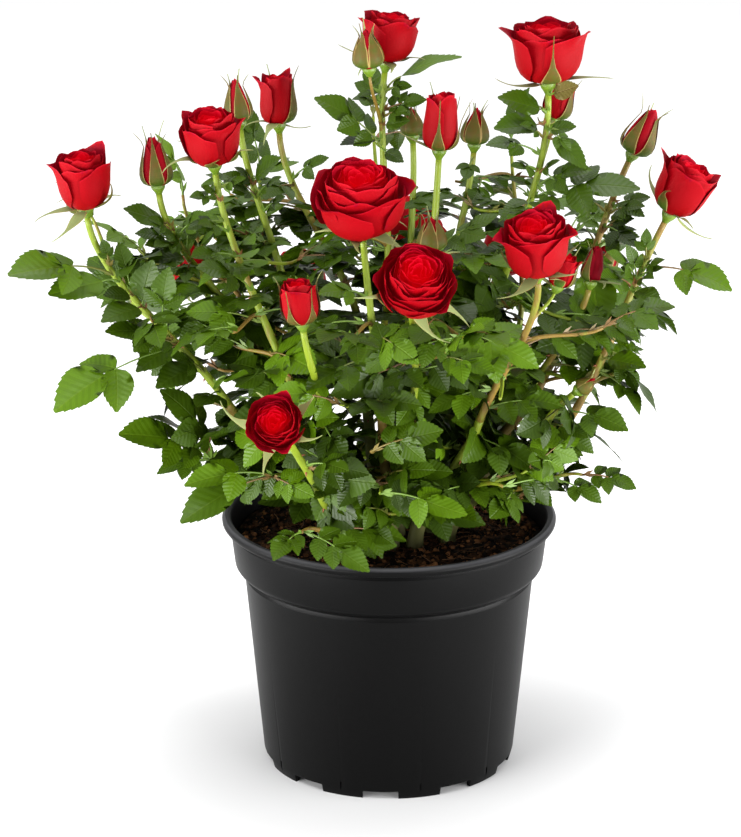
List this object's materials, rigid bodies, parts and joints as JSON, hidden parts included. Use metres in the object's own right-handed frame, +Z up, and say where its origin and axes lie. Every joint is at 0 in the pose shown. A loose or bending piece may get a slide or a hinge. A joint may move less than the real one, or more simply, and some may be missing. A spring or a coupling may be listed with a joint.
{
  "type": "potted rose bush",
  "caption": "Small patio rose bush with red double roses, buds and dense compound leaves, standing in a round black nursery pot filled with compost.",
  "frame": {"origin": "centre of the pot's underside, on the pot's axis, level with the surface it stands on", "axes": "+Z up along the pot's axis; -Y towards the viewer of the plant's front; +X to the viewer's right"},
  "size_m": [0.359, 0.2613, 0.3873],
  "materials": {
    "pot": "satin black moulded plastic",
    "compost": "moist crumbly compost with fibres",
    "cane": "green young bark with reddish tints",
    "foliage": "soft semi-gloss leaf",
    "petal": "velvety red petal",
    "sepal": "pale green sepal"
  },
  "bodies": {
    "root": {"pot": "pot", "compost": "compost", "cane_left": "cane", "cane_left_back": "cane", "cane_front_left": "cane", "cane_centre_back": "cane", "cane_front": "cane", "cane_centre": "cane", "cane_right_back": "cane", "cane_front_right": "cane", "cane_right": "cane", "cane_far_right": "cane", "cane_low_front": "cane", "cane_back_left": "cane", "cane_back": "cane", "cane_back_right": "cane", "rose_far_left": "foliage", "bud_left": "foliage", "rose_left": "foliage", "bud_upper_left": "foliage", "rose_back_left": "foliage", "rose_top_centre": "foliage", "bud_small_centre": "foliage", "rose_slim_centre": "foliage", "bud_centre_right": "foliage", "rose_top_right": "foliage", "bud_right": "foliage", "rose_far_right": "foliage", "rose_front_upper": "foliage", "rose_front_centre": "foliage", "rose_front_right": "foliage", "bud_dark_right": "foliage", "bud_green_centre": "foliage", "rose_small_left": "foliage", "rose_low_front": "foliage", "bud_low_right": "foliage", "rose_back_far_left": "foliage", "rose_back_low_left": "foliage", "rose_back": "foliage", "rose_back_right": "foliage", "bud_back_right": "foliage", "leaves_top_left": "foliage", "leaves_top_back_left": "foliage", "leaves_top_back": "foliage", "leaves_top_back_right": "foliage", "leaves_left": "foliage", "leaves_left_back": "foliage", "leaves_front_left": "foliage", "leaves_centre_back": "foliage", "leaves_front": "foliage", "leaves_centre": "foliage", "leaves_right_back": "foliage", "leaves_front_right": "foliage", "leaves_right": "foliage", "leaves_far_right": "foliage", "leaves_low_front": "foliage", "leaves_back_left": "foliage", "leaves_back": "foliage", "leaves_back_right": "foliage"}
  },
  "joints": []
}
